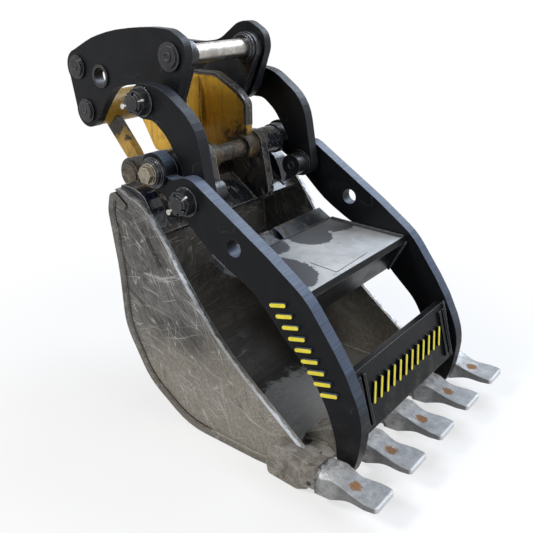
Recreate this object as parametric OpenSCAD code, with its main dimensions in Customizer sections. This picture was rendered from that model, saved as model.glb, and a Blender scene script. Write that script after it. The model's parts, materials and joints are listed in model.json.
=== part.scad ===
// Excavator bucket with a linked thumb: the thumb arms, their curved links, the
// black crank plates, the stick end and the bucket that they close against.
// Lengths are millimetres. X points forward to the teeth, Z up, and the near side is -Y.
// Side profiles are drawn as [x, z] about the main pin, then the whole stands on Z = 0.

/* [Bucket] */
// Width of the bucket over the edges of its shell
bucket_w = 610; // [570:10:660]
// Thickness of the bent shell
shell_t = 16; // [12:1:18]
// Thickness of each side plate
side_t = 18; // [14:1:20]
// How far the shell stands proud of each side plate
edge_proud = 6; // [2:1:8]
// Thickness of the cutting edge
lip_t = 25; // [20:1:30]
// Height of the main pin above the ground
pin_height = 655; // [650:1:665]
// Thickness of each ear
ear_t = 25; // [20:1:28]
// Radius of the ear round the main pin
ear_r = 42; // [40:1:46]

/* [Teeth] */
// Number of teeth
tooth_count = 5; // [3:2:5]
// Width over the outer teeth's middle lines
tooth_span = 620; // [600:10:640]
// Width of a tooth at its blade
tooth_w = 80; // [72:2:84]
// Length of a tooth
tooth_len = 157; // [150:1:170]

/* [Pins] */
// Radius of the main pin
main_r = 24; // [20:1:26]
// Radius of the bright stick pin
stick_r = 24; // [20:1:26]
// Radius of the rear pin
rear_r = 22; // [18:1:24]
// Radius of the pins at the ends of the curved links
link_pin_r = 19; // [16:1:22]
// Radius of the spare bore through the crank plates
spare_r = 22.5; // [18:0.5:24]
// Radial clearance of a pin that turns in its bore
run_gap = 0.08; // [0.03:0.01:0.1]
// Radial clearance of a pin that is held in its bore
hold_gap = 0.02; // [0.01:0.01:0.04]
// Radial clearance where the linkage is opened
open_gap = 0.8; // [0.7:0.05:1]

/* [Thumb] */
// Thickness of each arm
arm_t = 34; // [30:1:36]
// Gap between an arm and the bucket's side plate
arm_gap = 17; // [12:1:20]
// Thickness of each curved link
link_t = 32; // [28:1:34]
// Gap between neighbours that slide past each other
slide_gap = 2; // [1:0.5:3]
// Radius of the spare hole in each arm
arm_hole_r = 21; // [16:1:24]
// Thickness of the cross plates
cross_t = 16; // [12:1:18]

/* [Crank and stick end] */
// Width over the two crank plates
crank_w = 326; // [318:2:334]
// Thickness of each crank plate
crank_t = 25; // [20:1:26]
// Depth of the pads between the stick end's side plates and the cheeks
pad_t = 27; // [22:1:32]
// Thickness of each side plate of the stick end
nose_t = 24; // [16:1:26]
// Thickness of each cheek that holds the stick pin
cheek_t = 21; // [16:1:22]
// Gap between a cheek and its crank plate
cheek_gap = 4; // [3:0.5:6]
// Gap between the stick end and each ear
ear_gap = 6; // [5:0.5:8]

/* [Rear link] */
// Radius of the tube at the upper end
top_tube_r = 44; // [38:1:46]
// Radius of the tube at the lower end
low_tube_r = 38; // [34:1:40]
// Width of each leg
leg_w = 44; // [36:1:50]
// Thickness of each leg
leg_t = 24; // [18:1:25]

/* [Hidden] */
$fn = 64;

// Degrees between the points of a rounded corner
arc_step = 9;
// A saw cut's worth of length, so that one solid cuts cleanly through another
cut = 1;

// Places of the pivots about the main pin
arm_pin_at = [98.6, -54.2];
link_pin_at = [-67.2, 154.6];
stick_pin_at = [-32.2, 253.8];
rear_link_pin_at = [-362, 90.2];
rear_pin_at = [-254.4, -80.4];
rod_pin_at = [-386, 203.5];
spare_at = [-293, 187];
arm_hole_at = [242, -136];

// Distances of the plates from the middle plane
side_out = bucket_w / 2 - edge_proud;
side_in = side_out - side_t;
arm_out = side_in - arm_gap;
arm_in = arm_out - arm_t;
link_out = arm_in - slide_gap;
link_in = link_out - link_t;
crank_out = crank_w / 2;
crank_in = crank_out - crank_t;
cheek_out = crank_in - cheek_gap;
cheek_in = cheek_out - cheek_t;
nose_out = cheek_in - pad_t;
nose_in = nose_out - nose_t;
ear_in = nose_out + ear_gap;
ear_out = ear_in + ear_t;

// Helpers for outlines: a point is [x, z, corner radius]
function flat(p) = [p[0], p[1]];
function unit(v) = v / norm(v);
function short_turn(a) = a > 180 ? a - 360 : a < -180 ? a + 360 : a;
function corner(a, b, c, r) =
    let (u = unit(a - b), v = unit(c - b), half = acos(u * v) / 2,
         reach = min(r / tan(half), 0.48 * norm(a - b), 0.48 * norm(c - b)),
         fit = reach * tan(half), m = b + unit(u + v) * fit / sin(half),
         p = b + u * reach - m, q = b + v * reach - m,
         start = atan2(p[1], p[0]), turn = short_turn(atan2(q[1], q[0]) - start),
         n = max(1, ceil(abs(turn) / arc_step)))
    [for (i = [0:n]) m + fit * [cos(start + turn * i / n), sin(start + turn * i / n)]];
function bend(p, i, n) = len(p[i]) > 2
    ? corner(flat(p[(i + n - 1) % n]), flat(p[i]), flat(p[(i + 1) % n]), p[i][2])
    : [flat(p[i])];
function closed(p) = [for (i = [0:len(p) - 1]) each bend(p, i, len(p))];
function open(p) = [for (i = [0:len(p) - 1])
    each i == 0 || i == len(p) - 1 ? [flat(p[i])] : bend(p, i, len(p))];
function along(p, i) = unit(p[min(i + 1, len(p) - 1)] - p[max(i - 1, 0)]);
function shifted(p, d) = [for (i = [0:len(p) - 1]) p[i] + d * [along(p, i)[1], -along(p, i)[0]]];
function turned(p) = [for (i = [len(p) - 1:-1:0]) p[i]];

// Helpers for solids: a side profile carried across from y0 to y1, and a round bar across
module across(y0, y1) {
    translate([0, y1, 0]) rotate([90, 0, 0]) linear_extrude(y1 - y0) children();
}
module bar(at, r, y0, y1) {
    translate([at[0], y1, at[1]]) rotate([90, 0, 0]) cylinder(r = r, h = y1 - y0);
}
module ring(at, r, bore, y0, y1) {
    difference() {
        bar(at, r, y0, y1);
        bar(at, bore, y0 - cut, y1 + cut);
    }
}
module near() {
    mirror([0, 1, 0]) children();
}
module both_sides() {
    children();
    mirror([0, 1, 0]) children();
}
module standing() {
    translate([-(tip_x + rear_x) / 2, 0, pin_height]) children();
}

// Bucket profile: the outside of the shell from the upper lip round to the cutting edge
belly_z = -pin_height;
upper_lip = [20, -150];
top_corner = [-122, -48];
weld_at = upper_lip + 0.62 * (top_corner - upper_lip);
flat_end = [350, belly_z];
shell_end = [432, belly_z + 10];
shell_line = open([[weld_at[0], weld_at[1]], [top_corner[0], top_corner[1], 20],
    [-138, -112, 70], [-114, -270, 400], [-108, -428, 170], [-28, -566, 170],
    [110, belly_z, 190], [flat_end[0], flat_end[1], 300], [shell_end[0], shell_end[1]]]);
shell_inner = shifted(shell_line, -shell_t);
mouth_line = open([[470, -573], [284, -433, 500], [224, -381, 500], [164, -315, 500],
    [104, -239, 500], [45, -152, 300], [-22, -76, 50], [-58, -68]]);
plate_nose = [474, -590];

// The cutting edge carries on from the end of the shell
edge_dir = unit(shell_end - flat_end);
edge_up = [-edge_dir[1], edge_dir[0]];
edge_line = [shell_end, shell_end + 62 * edge_dir, shell_end + 62 * edge_dir + 7 * edge_up,
    shell_end + 40 * edge_dir + lip_t * edge_up, shell_end + lip_t * edge_up];

// Teeth point slightly up from the noses of their adapters
tooth_root = [535, -594];
tooth_pitch = 4;
tip_low = -9;
tip_x = tooth_root[0] + tooth_len * cos(tooth_pitch) - tip_low * sin(tooth_pitch);
nose_len = 40;
root_half_h = 32;
root_half_w = 0.46 * tooth_w;
tooth_pin_r = 6;
tooth_pin_at = [-16, -8];
adapter_top = [505, -564];
adapter_low = [505, -637];
adapter_line = closed([[402, -612], [466, -567, 14], adapter_top, adapter_low, [476, -651, 10],
    [440, -651], [404, -645]]);
corner_line = closed([[388, -618], [396, -572, 12], [414, -558, 12], [482, -560, 30], adapter_top,
    adapter_low, [476, -651, 10], [394, -646, 10]]);
corner_out = side_out + 33;

// Ends of the crank plates and of the pins that pass through them
crank_eye_r = 45;
rear_x = rod_pin_at[0] - crank_eye_r;
bush_wall = 7;
bush_proud = 5;
rear_eye_r = 46;
main_end = arm_out + 20;
hub_r = 41;
ear_boss_r = 38;
boss_gap = 0.5;
nose_bush_r = 30;

// Castle nuts and their split pins
nut_r = 32;
nut_h = 20;
castle_h = 9;
castle_r = 26;
washer_t = 4;
washer_r = 36;
cotter_r = 3;
cotter_reach = 38;
arm_cotter_tilt = 39;
link_cotter_tilt = 17;
arm_nut_at = arm_out + washer_t;
link_nut_at = link_out + slide_gap + washer_t;

module shell_outline() {
    polygon(concat([upper_lip], shell_line, [[500, -560]]));
}
module floor_outline() {
    polygon(concat(shell_line, [edge_line[1], edge_line[2], edge_line[3], edge_line[4]],
        turned(shell_inner)));
}
module floor_and_side_outline() {
    polygon(concat(shell_line, [edge_line[1], edge_line[2], edge_line[3], plate_nose], mouth_line));
}
module side_outline() {
    polygon(concat(shell_inner, [edge_line[4], edge_line[3], plate_nose], mouth_line, [weld_at]));
}
module bucket_shell() {
    color("dimgray") standing() across(-bucket_w / 2, bucket_w / 2)
        polygon(concat(shell_line, turned(shell_inner)));
}
module top_plate() {
    drop = shell_t * unit([weld_at[1] - upper_lip[1], upper_lip[0] - weld_at[0]]);
    color("dimgray") standing() across(-side_in, side_in)
        polygon([upper_lip, weld_at, weld_at - drop, upper_lip - drop]);
}
module side_plate() {
    across(side_in, side_out) side_outline();
}
module side_plate_near() {
    color("gray") standing() near() side_plate();
}
module side_plate_far() {
    color("gray") standing() side_plate();
}
module corner_gussets() {
    color("gray") standing() both_sides() across(side_in - 45, side_in) difference() {
        polygon(closed([[-112, -90], [-108, -47], [-98, -45, 8], [-60, -48, 60], [-28, -60, 40],
            [-4, -100, 60], [8, -150]]));
        shell_outline();
    }
}
module ear() {
    difference() {
        union() {
            across(ear_in, ear_out) difference() {
                polygon(closed([[-14, 39.6], [0, 0], [38, 16], [56, -62, 60], [66, -120, 8],
                    [58, -136, 8], upper_lip, [-20, -220], [-90, -240], [-128, -232],
                    [-278, -120, 30], [-268, -36.6]]));
                shell_outline();
            }
            bar([0, 0], ear_r, ear_in, ear_out);
            bar(rear_pin_at, rear_eye_r, ear_in, ear_out);
        }
        bar([0, 0], main_r + hold_gap, ear_in - cut, ear_out + cut);
        bar(rear_pin_at, rear_r + hold_gap, ear_in - cut, ear_out + cut);
    }
}
module ear_near() {
    color("dimgray") standing() near() ear();
}
module ear_far() {
    color("dimgray") standing() ear();
}
module ear_bosses() {
    color("dimgray") standing() both_sides()
        ring([0, 0], ear_boss_r, main_r + hold_gap, ear_out, link_in - 8);
}
module cutting_edge() {
    color("silver") standing() across(-bucket_w / 2, bucket_w / 2) polygon(edge_line);
}
module adapter_piece(y0, y1) {
    across(y0, y1) difference() {
        polygon(adapter_line);
        floor_outline();
    }
}
module corner_adapter(mid) {
    adapter_piece(mid - root_half_w, side_in);
    across(side_in, side_out) difference() {
        polygon(adapter_line);
        floor_and_side_outline();
    }
    across(side_out, bucket_w / 2) difference() {
        polygon(corner_line);
        floor_outline();
    }
    across(bucket_w / 2, corner_out) polygon(corner_line);
}
// Across a tooth's root and its adapter's nose: a box with well rounded corners
module root_section(grow) {
    w = root_half_w + grow;
    h = root_half_h + grow;
    polygon(closed([[-h, -w, 22], [h, -w, 22], [h, w, 22], [-h, w, 22]]));
}
module at_teeth() {
    for (i = [0:tooth_count - 1])
        translate([tooth_root[0], -tooth_span / 2 + i * tooth_span / (tooth_count - 1), tooth_root[1]])
            rotate([0, -tooth_pitch, 0]) children();
}
module tooth_adapters() {
    color("saddlebrown") standing() difference() {
        union() {
            for (i = [1:1:tooth_count - 2]) {
                mid = -tooth_span / 2 + i * tooth_span / (tooth_count - 1);
                adapter_piece(mid - root_half_w, mid + root_half_w);
            }
            both_sides() corner_adapter(tooth_span / 2);
            at_teeth() translate([-nose_len, 0, 0]) rotate([0, -90, 180]) linear_extrude(nose_len)
                root_section(0);
        }
        at_teeth() bar(tooth_pin_at, tooth_pin_r + hold_gap, -tooth_w, tooth_w);
    }
}
module teeth() {
    half = tooth_w / 2;
    color("lightgray") standing() at_teeth() intersection() {
        across(-tooth_w, tooth_w) polygon(closed([[0, 34], [26, 32, 14], [84, 8, 60],
            [tooth_len, tip_low + 11], [tooth_len, tip_low], [88, -13, 120], [36, -28, 60], [0, -34]]));
        translate([0, 0, -tooth_w]) linear_extrude(2 * tooth_w) polygon(closed([[0, -0.96 * half],
            [22, -0.96 * half, 20], [74, -0.76 * half, 80], [126, -half, 40],
            [tooth_len, -0.97 * half, 9], [tooth_len, 0.97 * half, 9], [126, half, 40],
            [74, 0.76 * half, 80], [22, 0.96 * half, 20], [0, 0.96 * half]]));
        rotate([0, -90, 180]) linear_extrude(tooth_len + cut) polygon(closed([[-34, -half, 18],
            [33, -half, 22], [33, half, 22], [-34, half, 18]]));
    }
}
module tooth_pins() {
    color("dimgray") standing() at_teeth()
        bar(tooth_pin_at, tooth_pin_r, -root_half_w - cut, root_half_w + cut);
}
module main_pin() {
    color("silver") standing() bar([0, 0], main_r, -main_end, main_end);
}
module main_pin_washers() {
    color("dimgray") standing() both_sides() {
        ring([0, 0], 38, main_r + hold_gap, arm_out + slide_gap, main_end - 10);
        ring([0, 0], 31, main_r + hold_gap, main_end - 10, main_end);
    }
}
module main_pin_bolts() {
    color("silver") standing() both_sides() {
        bar([0, 0], 26, main_end, main_end + 3);
        translate([0, main_end + 3, 0]) rotate([-90, 0, 0]) cylinder(r = 21, h = 14, $fn = 6);
    }
}
module rear_pin() {
    color("silver") standing() bar(rear_pin_at, rear_r, -ear_out - 8, ear_out + 8);
}
module rear_pin_collars() {
    color("dimgray") standing() both_sides() {
        ring(rear_pin_at, 36, rear_r + hold_gap, ear_out, ear_out + 8);
        bar(rear_pin_at, 28, ear_out + 8, ear_out + 12);
    }
}

// The near plate is cut back in front; both share their rear and lower edges
plate_rear = [[0, -34], [-138, -1, 200], [-184, -8, 16], [-236, 80, 30], [-204, 142, 30],
    [-172, 188, 30]];
module stick_plate(front) {
    difference() {
        union() {
            across(nose_in, nose_out) polygon(closed(concat(front, plate_rear)));
            bar([0, 0], 34, nose_in, nose_out);
        }
        bar([0, 0], nose_bush_r + hold_gap, nose_in - cut, nose_out + cut);
    }
}
module stick_plate_near() {
    color("goldenrod") standing() near() stick_plate([[-140, 178, 40], [-100, 150, 60],
        [-44, 80, 60], [-20, 40, 30], [-8, 10], [0, 0]]);
}
module stick_plate_far() {
    color("goldenrod") standing() stick_plate([[-94, 189, 60], [-20, 150, 90], [13, 119, 20],
        [14, 21], [0, 0]]);
}
module stick_web() {
    color("goldenrod") standing() across(-nose_in, nose_in)
        polygon([[-167, 34], [-151, 34], [-151, 173], [-167, 173]]);
}
module stick_bosses() {
    color("goldenrod") standing() difference() {
        union() {
            both_sides() {
                bar([0, 0], nose_bush_r, nose_in, nose_out);
                bar([0, 0], 36, nose_out, ear_in - boss_gap);
            }
            bar([0, 0], 35, nose_in - 12, nose_in);
        }
        bar([0, 0], main_r + run_gap, -ear_in, ear_in);
    }
}
module cheek() {
    difference() {
        union() {
            across(cheek_in, cheek_out) polygon(closed([[7, 243], [-34, 146, 40], [-52, 114, 15],
                [-160, 114, 20], [-200, 172, 20], [-112, 256, 80], [-60, 284]]));
            bar(stick_pin_at, 41, cheek_in, cheek_out);
        }
        bar(stick_pin_at, stick_r + hold_gap, cheek_in - cut, cheek_out + cut);
    }
}
module cheek_near() {
    color("dimgray") standing() near() cheek();
}
module cheek_far() {
    color("dimgray") standing() cheek();
}
module cheek_pads() {
    color("dimgray") standing() both_sides() across(nose_out, cheek_in)
        polygon([[-150, 122], [-60, 122], [-60, 162], [-150, 162]]);
}
module stick_pin() {
    color("silver") standing()
        bar(stick_pin_at, stick_r, -crank_out - slide_gap, crank_out + slide_gap);
}
module stick_pin_seals() {
    color("dimgray") standing() both_sides() {
        ring(stick_pin_at, 40, stick_r + hold_gap, cheek_out, crank_in - boss_gap);
        ring(stick_pin_at, 38, stick_r + hold_gap, cheek_in - 9, cheek_in);
        ring(stick_pin_at, 34, stick_r + hold_gap, cheek_in - 15, cheek_in - 9);
    }
}
module stick_pin_caps() {
    color("dimgray") standing() both_sides() {
        bar(stick_pin_at, 34, crank_out + slide_gap, crank_out + slide_gap + 5);
        bar(stick_pin_at, 26, crank_out + slide_gap + 5, crank_out + slide_gap + 9);
    }
}

arm_line = closed([[-30, -25], [0, 30], [30, -4, 25], [58, -10, 40], [105, 8, 60], [335, -132, 400],
    [442, -205, 200], [553, -350, 500], [603, -462, 200], [592, -560, 150], [578, -606, 8],
    [556, -612, 8], [541, -590, 40], [534, -529, 200], [508, -459, 200], [464, -385, 150],
    [391, -322, 200], [304, -229, 150], [234, -198, 200], [159, -158, 300], [98, -104, 60],
    [40, -60, 60], [0, -38]]);
module arm() {
    difference() {
        union() {
            across(arm_in, arm_out) polygon(arm_line);
            bar([-6, 4], 42, arm_in, arm_out);
        }
        bar([0, 0], main_r + run_gap, arm_in - cut, arm_out + cut);
        bar(arm_pin_at, link_pin_r + hold_gap, arm_in - cut, arm_out + cut);
        bar(arm_hole_at, arm_hole_r, arm_in - cut, arm_out + cut);
    }
}
module arm_near() {
    color("black") standing() near() arm();
}
module arm_far() {
    color("black") standing() arm();
}
module arm_hubs() {
    color("black") standing() both_sides()
        ring([0, 0], hub_r, main_r + run_gap, link_in - 6, arm_in);
}
// The upper plate is folded at the back and carries a sloping flange in front
plate_back = [184, -210];
plate_front = [418, -213];
fold_low = [180, plate_back[1] - cross_t];
front_low = [plate_front[0], plate_front[1] - cross_t];
module upper_cross_plate() {
    color("black") standing() across(-arm_in, arm_in)
        polygon([plate_back, plate_front, front_low, fold_low]);
}
module upper_front_flange() {
    color("black") standing() across(-arm_in, arm_in)
        polygon([plate_front, [427, -226], [377, -318], [364.7, -311.3],
            [front_low[0] - 9, front_low[1]], front_low]);
}
module upper_rear_strip() {
    color("black") standing() difference() {
        across(-arm_in, arm_in) polygon([plate_back, fold_low, [136, -203], [144, -188]]);
        translate([160, 0, -198]) rotate([0, -28.8, 0]) cylinder(r = 15, h = 80, center = true);
    }
}
lower_top = [547, -369];
lower_end = [589, -516];
lower_dir = unit(lower_end - lower_top);
lower_in = [lower_dir[1], -lower_dir[0]];
lower_t = 22;
module lower_cross_plate() {
    color("black") standing() across(-arm_in, arm_in) polygon([lower_top, lower_end,
        lower_end + lower_t * lower_in, lower_top + lower_t * lower_in]);
}
module end_bars() {
    bar_from = lower_top + 14 * lower_dir;
    bar_to = lower_end - 14 * lower_dir;
    color("black") standing() both_sides() for (y = [arm_in - 12, arm_in - 32])
        across(y - 9, y) polygon([bar_from, bar_to, bar_to - 7 * lower_in, bar_from - 7 * lower_in]);
}
module cotter(at, y, tilt) {
    translate([at[0], y, at[1]]) rotate([0, -tilt, 0]) {
        translate([-cotter_reach, 0, 0]) rotate([0, 90, 0]) cylinder(r = cotter_r, h = 2 * cotter_reach);
        translate([-cotter_reach, 2.5, 0]) rotate([90, 0, 0]) cylinder(r = 6.5, h = 5);
    }
}
module cotter_bore(at, y, tilt) {
    translate([at[0], y, at[1]]) rotate([0, -tilt, 0]) translate([-link_pin_r - cut, 0, 0])
        rotate([0, 90, 0]) cylinder(r = cotter_r + hold_gap, h = 2 * link_pin_r + 2 * cut);
}
module castle_nut(at, y, tilt) {
    difference() {
        translate([at[0], y, at[1]]) rotate([0, -tilt, 0]) rotate([-90, 0, 0]) {
            rotate([0, 0, 30]) cylinder(r = nut_r, h = nut_h, $fn = 6);
            cylinder(r = castle_r, h = nut_h + castle_h);
        }
        bar(at, link_pin_r + hold_gap, y - cut, y + nut_h + castle_h + cut);
        for (a = [0, 60, 120]) translate([at[0], y + nut_h + 1, at[1]]) rotate([0, a - tilt, 0])
            translate([-nut_r, 0, -3.6]) cube([2 * nut_r, castle_h, 7.2]);
    }
}
function cotter_y(y) = y + nut_h + 1 + cotter_r + 1;
function nut_end(y) = y + nut_h + castle_h + 2;
module arm_pins() {
    color("dimgray") standing() both_sides() difference() {
        union() {
            bar(arm_pin_at, 30, link_in - 46, link_in - 8);
            bar(arm_pin_at, 36, link_in - 8, link_in - slide_gap);
            bar(arm_pin_at, link_pin_r, link_in - slide_gap, nut_end(arm_nut_at));
        }
        cotter_bore(arm_pin_at, cotter_y(arm_nut_at), arm_cotter_tilt);
    }
}
module arm_pin_washers() {
    color("dimgray") standing() both_sides()
        ring(arm_pin_at, washer_r, link_pin_r + hold_gap, arm_out, arm_nut_at);
}
module arm_pin_nuts() {
    color("dimgray") standing() both_sides() castle_nut(arm_pin_at, arm_nut_at, arm_cotter_tilt);
}
module arm_pin_cotters() {
    color("silver") standing() both_sides()
        cotter(arm_pin_at, cotter_y(arm_nut_at), arm_cotter_tilt);
}

crank_front = [[12, 293, 40], [20, 255, 50], [4, 208, 60], [-12, 169, 60], [-25, 145], [-67, 125],
    [-100, 145], [-118, 172, 30], [-142, 181, 60], [-218, 169, 80], [-250, 158, 60],
    [-282, 122, 80], [-318, 76, 30], [-334, 56], [-362, 60], [-407, 96], [-430, 213],
    [-404, 244]];
near_line = closed(concat([[-320, 283, 300], [-239, 304, 300], [-163, 314, 300], [-93, 318, 100],
    [-32, 316, 60]], crank_front));
far_line = closed(concat([[-380, 256, 60], [-300, 259, 200], [-216, 256, 200], [-142, 267, 80],
    [-78, 314, 60], [-40, 322, 50]], crank_front));
module crank_plate() {
    difference() {
        union() {
            across(crank_in, crank_out) children();
            bar(rod_pin_at, crank_eye_r, crank_in, crank_out);
            bar(rear_link_pin_at, crank_eye_r, crank_in, crank_out);
            bar(link_pin_at, 42, crank_in, crank_out);
        }
        bar(stick_pin_at, stick_r + run_gap, crank_in - cut, crank_out + cut);
        bar(rod_pin_at, rear_r + hold_gap, crank_in - cut, crank_out + cut);
        bar(rear_link_pin_at, rear_r + hold_gap, crank_in - cut, crank_out + cut);
        bar(link_pin_at, link_pin_r + hold_gap, crank_in - cut, crank_out + cut);
        bar(spare_at, spare_r + bush_wall + hold_gap, crank_in - cut, crank_out + cut);
    }
}
module crank_plate_near() {
    color("black") standing() near() crank_plate() polygon(near_line);
}
module crank_plate_far() {
    color("black") standing() crank_plate() polygon(far_line);
}
module rear_link_pin() {
    color("silver") standing() bar(rear_link_pin_at, rear_r, -crank_out, crank_out);
}
module rod_pin() {
    color("silver") standing() bar(rod_pin_at, rear_r, -crank_out, crank_out);
}
module pin_caps() {
    color("dimgray") standing() both_sides() for (at = [rear_link_pin_at, rod_pin_at]) {
        bar(at, 31, crank_out, crank_out + 6);
        bar(at, 24, crank_out + 6, crank_out + 11);
    }
}
module spare_bushes() {
    color("dimgray") standing() both_sides()
        ring(spare_at, spare_r + bush_wall, spare_r, crank_in, crank_out + bush_proud);
}
module link_pins() {
    color("dimgray") standing() both_sides() difference() {
        union() {
            bar(link_pin_at, link_pin_r, crank_in, nut_end(link_nut_at));
            bar(link_pin_at, 30, crank_out, link_in - slide_gap);
        }
        cotter_bore(link_pin_at, cotter_y(link_nut_at), link_cotter_tilt);
    }
}
module link_pin_washers() {
    color("dimgray") standing() both_sides()
        ring(link_pin_at, washer_r, link_pin_r + hold_gap, link_out + slide_gap, link_nut_at);
}
module link_pin_nuts() {
    color("dimgray") standing() both_sides() castle_nut(link_pin_at, link_nut_at, link_cotter_tilt);
}
module link_pin_cotters() {
    color("silver") standing() both_sides()
        cotter(link_pin_at, cotter_y(link_nut_at), link_cotter_tilt);
}

module curved_link() {
    difference() {
        union() {
            across(link_in, link_out) polygon(closed([[-67, 196.6], [-4, 192, 120], [104, 118, 130],
                [136.4, -50], [98.6, -60], [60.8, -50], [54, 14, 80], [4, 84, 120], [-36, 113, 40],
                [-67, 112.6], [-80, 154]]));
            bar(link_pin_at, 42, link_in, link_out);
            bar(arm_pin_at, 38, link_in, link_out);
        }
        bar(link_pin_at, link_pin_r + run_gap, link_in - cut, link_out + cut);
        bar(arm_pin_at, link_pin_r + open_gap, link_in - cut, link_out + cut);
    }
}
module curved_link_near() {
    color("black") standing() near() curved_link();
}
module curved_link_far() {
    color("black") standing() curved_link();
}

// The rear link's legs run square to its tubes below, then splay out to the wider upper tube
leg_vector = rear_pin_at - rear_link_pin_at;
leg_len = norm(leg_vector);
leg_slope = atan2(-leg_vector[1], leg_vector[0]);
leg_low_y = ear_in - 3 - leg_t;
leg_top_y = crank_in - 52;
leg_bend = leg_len - 56;
module rear_link_leg() {
    difference() {
        translate([rear_link_pin_at[0], 0, rear_link_pin_at[1]]) rotate([0, leg_slope, 0])
            translate([0, 0, -leg_w / 2]) linear_extrude(leg_w)
            polygon([[0, leg_top_y], [leg_bend, leg_low_y], [leg_len, leg_low_y],
                [leg_len, leg_low_y + leg_t], [leg_bend, leg_low_y + leg_t], [0, leg_top_y + leg_t]]);
        bar(rear_link_pin_at, top_tube_r, 0, crank_in);
        bar(rear_pin_at, low_tube_r, 0, crank_in);
    }
}
module rear_link_top_tube() {
    color("goldenrod") standing()
        ring(rear_link_pin_at, top_tube_r, rear_r + run_gap, -crank_in + boss_gap, crank_in - boss_gap);
}
module rear_link_low_tube() {
    color("goldenrod") standing()
        ring(rear_pin_at, low_tube_r, rear_r + open_gap, -ear_in + boss_gap, ear_in - boss_gap);
}
module rear_link_leg_near() {
    color("goldenrod") standing() near() rear_link_leg();
}
module rear_link_leg_far() {
    color("goldenrod") standing() rear_link_leg();
}

bucket_shell();
top_plate();
side_plate_near();
side_plate_far();
corner_gussets();
ear_near();
ear_far();
ear_bosses();
cutting_edge();
tooth_adapters();
teeth();
tooth_pins();
main_pin();
main_pin_washers();
main_pin_bolts();
rear_pin();
rear_pin_collars();
stick_plate_near();
stick_plate_far();
stick_web();
stick_bosses();
cheek_near();
cheek_far();
cheek_pads();
stick_pin();
stick_pin_seals();
stick_pin_caps();
arm_near();
arm_far();
arm_hubs();
upper_cross_plate();
upper_front_flange();
upper_rear_strip();
lower_cross_plate();
end_bars();
arm_pins();
arm_pin_washers();
arm_pin_nuts();
arm_pin_cotters();
crank_plate_near();
crank_plate_far();
rear_link_pin();
rod_pin();
pin_caps();
spare_bushes();
link_pins();
link_pin_washers();
link_pin_nuts();
link_pin_cotters();
curved_link_near();
curved_link_far();
rear_link_top_tube();
rear_link_low_tube();
rear_link_leg_near();
rear_link_leg_far();
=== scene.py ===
"""Excavator thumb closed on its bucket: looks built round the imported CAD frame."""

import json
import math

import bmesh
import bpy
from mathutils import Matrix, Vector


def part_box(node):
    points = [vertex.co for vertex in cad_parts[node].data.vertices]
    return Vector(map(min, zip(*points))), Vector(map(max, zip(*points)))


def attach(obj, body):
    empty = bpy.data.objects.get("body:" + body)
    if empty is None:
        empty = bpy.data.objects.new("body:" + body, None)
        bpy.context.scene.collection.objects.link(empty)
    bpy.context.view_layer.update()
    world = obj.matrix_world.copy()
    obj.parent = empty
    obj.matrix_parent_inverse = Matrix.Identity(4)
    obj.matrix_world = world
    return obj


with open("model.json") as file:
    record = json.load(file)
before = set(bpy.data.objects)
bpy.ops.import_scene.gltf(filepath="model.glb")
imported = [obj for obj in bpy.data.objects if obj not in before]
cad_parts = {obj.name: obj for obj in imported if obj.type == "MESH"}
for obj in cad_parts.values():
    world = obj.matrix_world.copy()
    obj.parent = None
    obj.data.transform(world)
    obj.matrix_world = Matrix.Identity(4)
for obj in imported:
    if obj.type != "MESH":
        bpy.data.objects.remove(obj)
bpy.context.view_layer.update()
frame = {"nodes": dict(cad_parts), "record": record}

# Bucket shell
# The bucket is bent and welded steel plate, its paint long gone: ground grey-brown,
# scratched by stones, with dirt in the hollows and bare metal on the cut edges.


def start_finish(name, colour, rough, metal, specular=0.5):
    """A new material; returns it with its tree, its shader and its object coordinates."""
    finish = bpy.data.materials.new(name)
    finish.use_nodes = True
    tree = finish.node_tree
    shader = tree.nodes["Principled BSDF"]
    shader.inputs["Base Color"].default_value = (*colour, 1)
    shader.inputs["Roughness"].default_value = rough
    shader.inputs["Metallic"].default_value = metal
    shader.inputs["Specular IOR Level"].default_value = specular
    place = tree.nodes.new("ShaderNodeTexCoord")
    return finish, tree, shader, place.outputs["Object"]


def turned_place(tree, place, turn, stretch, shift):
    """Object coordinates turned (degrees), moved and stretched, for marks that run one way."""
    first = tree.nodes.new("ShaderNodeMapping")
    first.inputs["Rotation"].default_value = [math.radians(t) for t in turn]
    first.inputs["Location"].default_value = shift
    second = tree.nodes.new("ShaderNodeMapping")
    second.inputs["Scale"].default_value = stretch
    tree.links.new(place, first.inputs["Vector"])
    tree.links.new(first.outputs["Vector"], second.inputs["Vector"])
    return second.outputs["Vector"]


def moved_place(tree, place, shift):
    """Object coordinates moved along, so that finishes don't share their patches."""
    return turned_place(tree, place, (0, 0, 0), (1, 1, 1), shift)


def between(tree, value, low, high):
    """0 below low, 1 above high, and smooth between; high may be the smaller."""
    ramp = tree.nodes.new("ShaderNodeMapRange")
    ramp.interpolation_type = "SMOOTHSTEP"
    turned = high < low
    ramp.inputs["From Min"].default_value = min(low, high)
    ramp.inputs["From Max"].default_value = max(low, high)
    ramp.inputs["To Min"].default_value = 1 if turned else 0
    ramp.inputs["To Max"].default_value = 0 if turned else 1
    tree.links.new(value, ramp.inputs["Value"])
    return ramp.outputs["Result"]


def cloud(tree, place, size, low, high, detail=6, rough=0.6, warp=0.0):
    """Noise in patches of about that size in metres, sharpened between two levels."""
    noise = tree.nodes.new("ShaderNodeTexNoise")
    noise.inputs["Scale"].default_value = 1 / size
    noise.inputs["Detail"].default_value = detail
    noise.inputs["Roughness"].default_value = rough
    noise.inputs["Distortion"].default_value = warp
    tree.links.new(place, noise.inputs["Vector"])
    return between(tree, noise.outputs["Fac"], low, high)


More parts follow.
